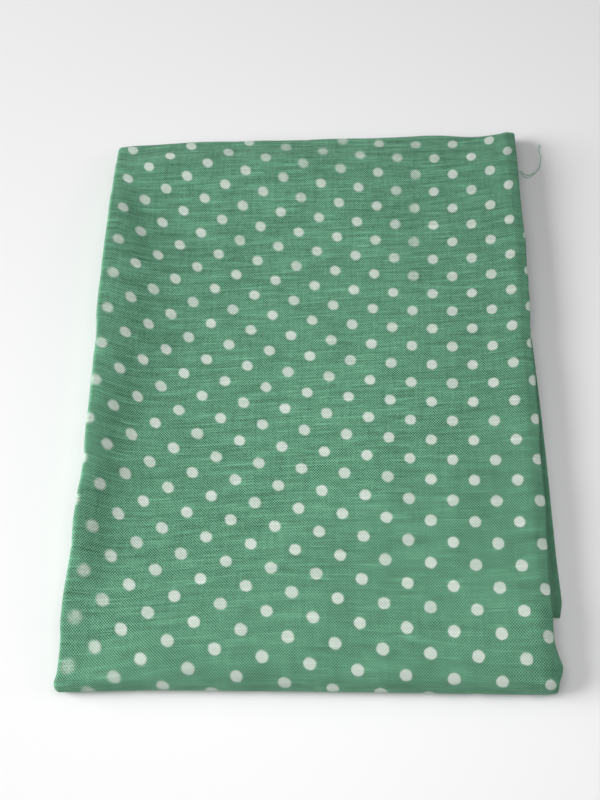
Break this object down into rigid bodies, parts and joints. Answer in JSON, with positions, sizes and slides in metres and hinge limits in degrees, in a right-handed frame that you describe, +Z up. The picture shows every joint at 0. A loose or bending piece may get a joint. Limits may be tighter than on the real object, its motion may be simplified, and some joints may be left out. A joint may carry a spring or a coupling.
{
  "type": "folded dress material",
  "caption": "Length of thin printed cotton folded into a flat rectangular packet, with a soft roll along one long edge.",
  "frame": {"origin": "on the surface that the packet lies on, under the middle of its outline", "axes": "+X to the sharp side fold, away from the soft roll; +Y along the packet to the puffy end fold; +Z up"},
  "size_m": [0.2858, 0.3836, 0.0187],
  "materials": {
    "cloth": "matte plain weave, green with pale round dots"
  },
  "bodies": {
    "root": {"cloth": "cloth"}
  },
  "joints": []
}
